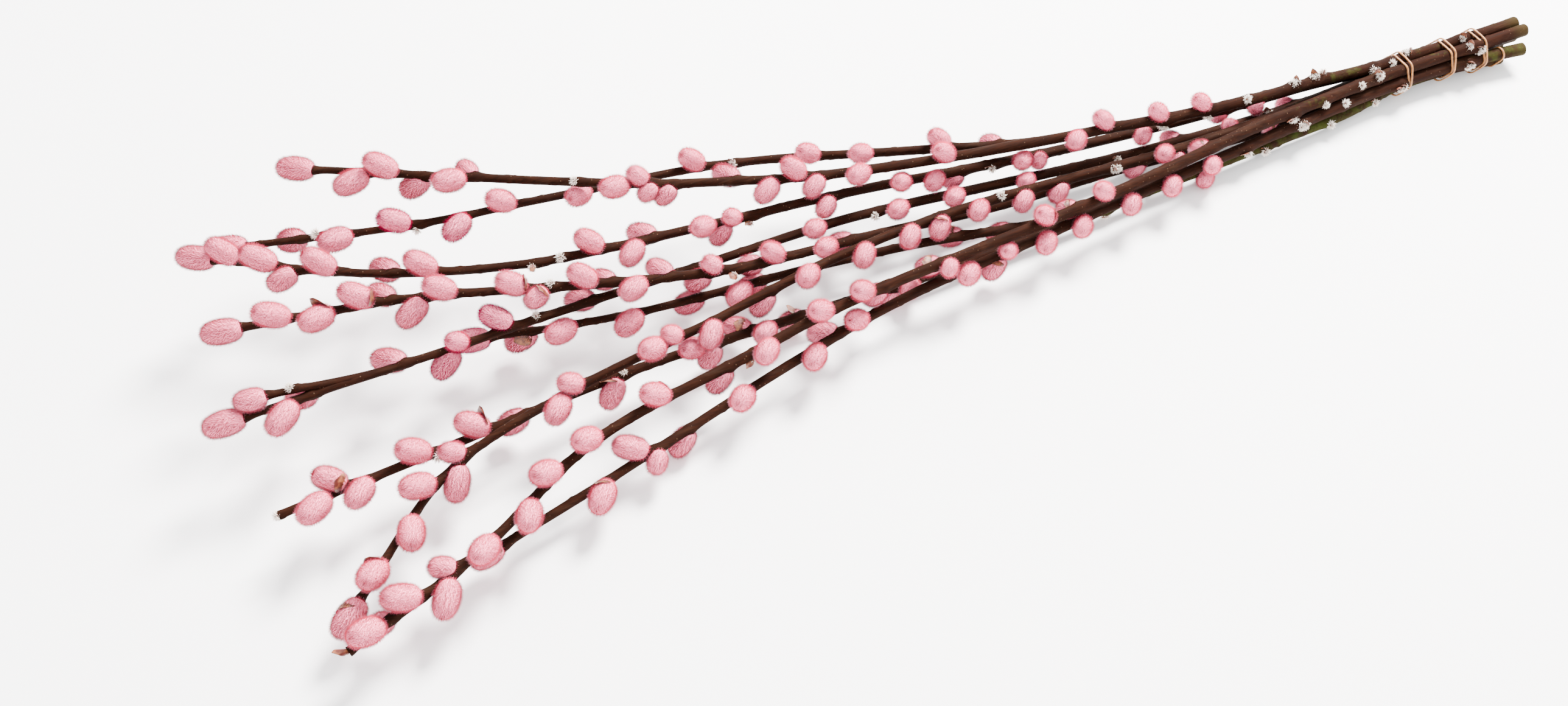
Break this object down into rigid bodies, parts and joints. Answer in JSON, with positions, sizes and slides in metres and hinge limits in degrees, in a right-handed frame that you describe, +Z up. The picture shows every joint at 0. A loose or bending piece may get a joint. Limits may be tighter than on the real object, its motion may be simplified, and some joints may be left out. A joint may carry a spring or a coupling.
{
  "type": "bunch of pussy willow branches",
  "caption": "Long cut willow rods with soft pink catkins, fanned out at the tips and held near the cut ends by thin rubber bands, lying flat.",
  "frame": {"origin": "under the middle of the bunch's box, on the surface that it lies on", "axes": "+X from the tips of the rods to their cut ends, +Z up"},
  "size_m": [0.8114, 0.2682, 0.0819],
  "materials": {
    "bark": "dark reddish-brown bark, smooth and faintly ridged, mossy in places",
    "catkin_fur": "soft pink silky hair",
    "bud_hair": "off-white silky hair",
    "bud_scale": "smooth red-brown bud scale",
    "rubber_band": "matte tan rubber"
  },
  "bodies": {
    "root": {"rod_top_far": "bark", "rod_middle_far": "bark", "rod_bottom_middle": "bark", "rod_bottom_far": "bark", "rod_middle_inner": "bark", "rod_bottom_near": "bark", "rod_top_near": "bark", "rod_middle_near": "bark", "rubber_band_inner": "rubber_band", "rubber_band_middle": "rubber_band", "rubber_band_outer": "rubber_band", "rubber_band_small": "rubber_band"}
  },
  "joints": []
}
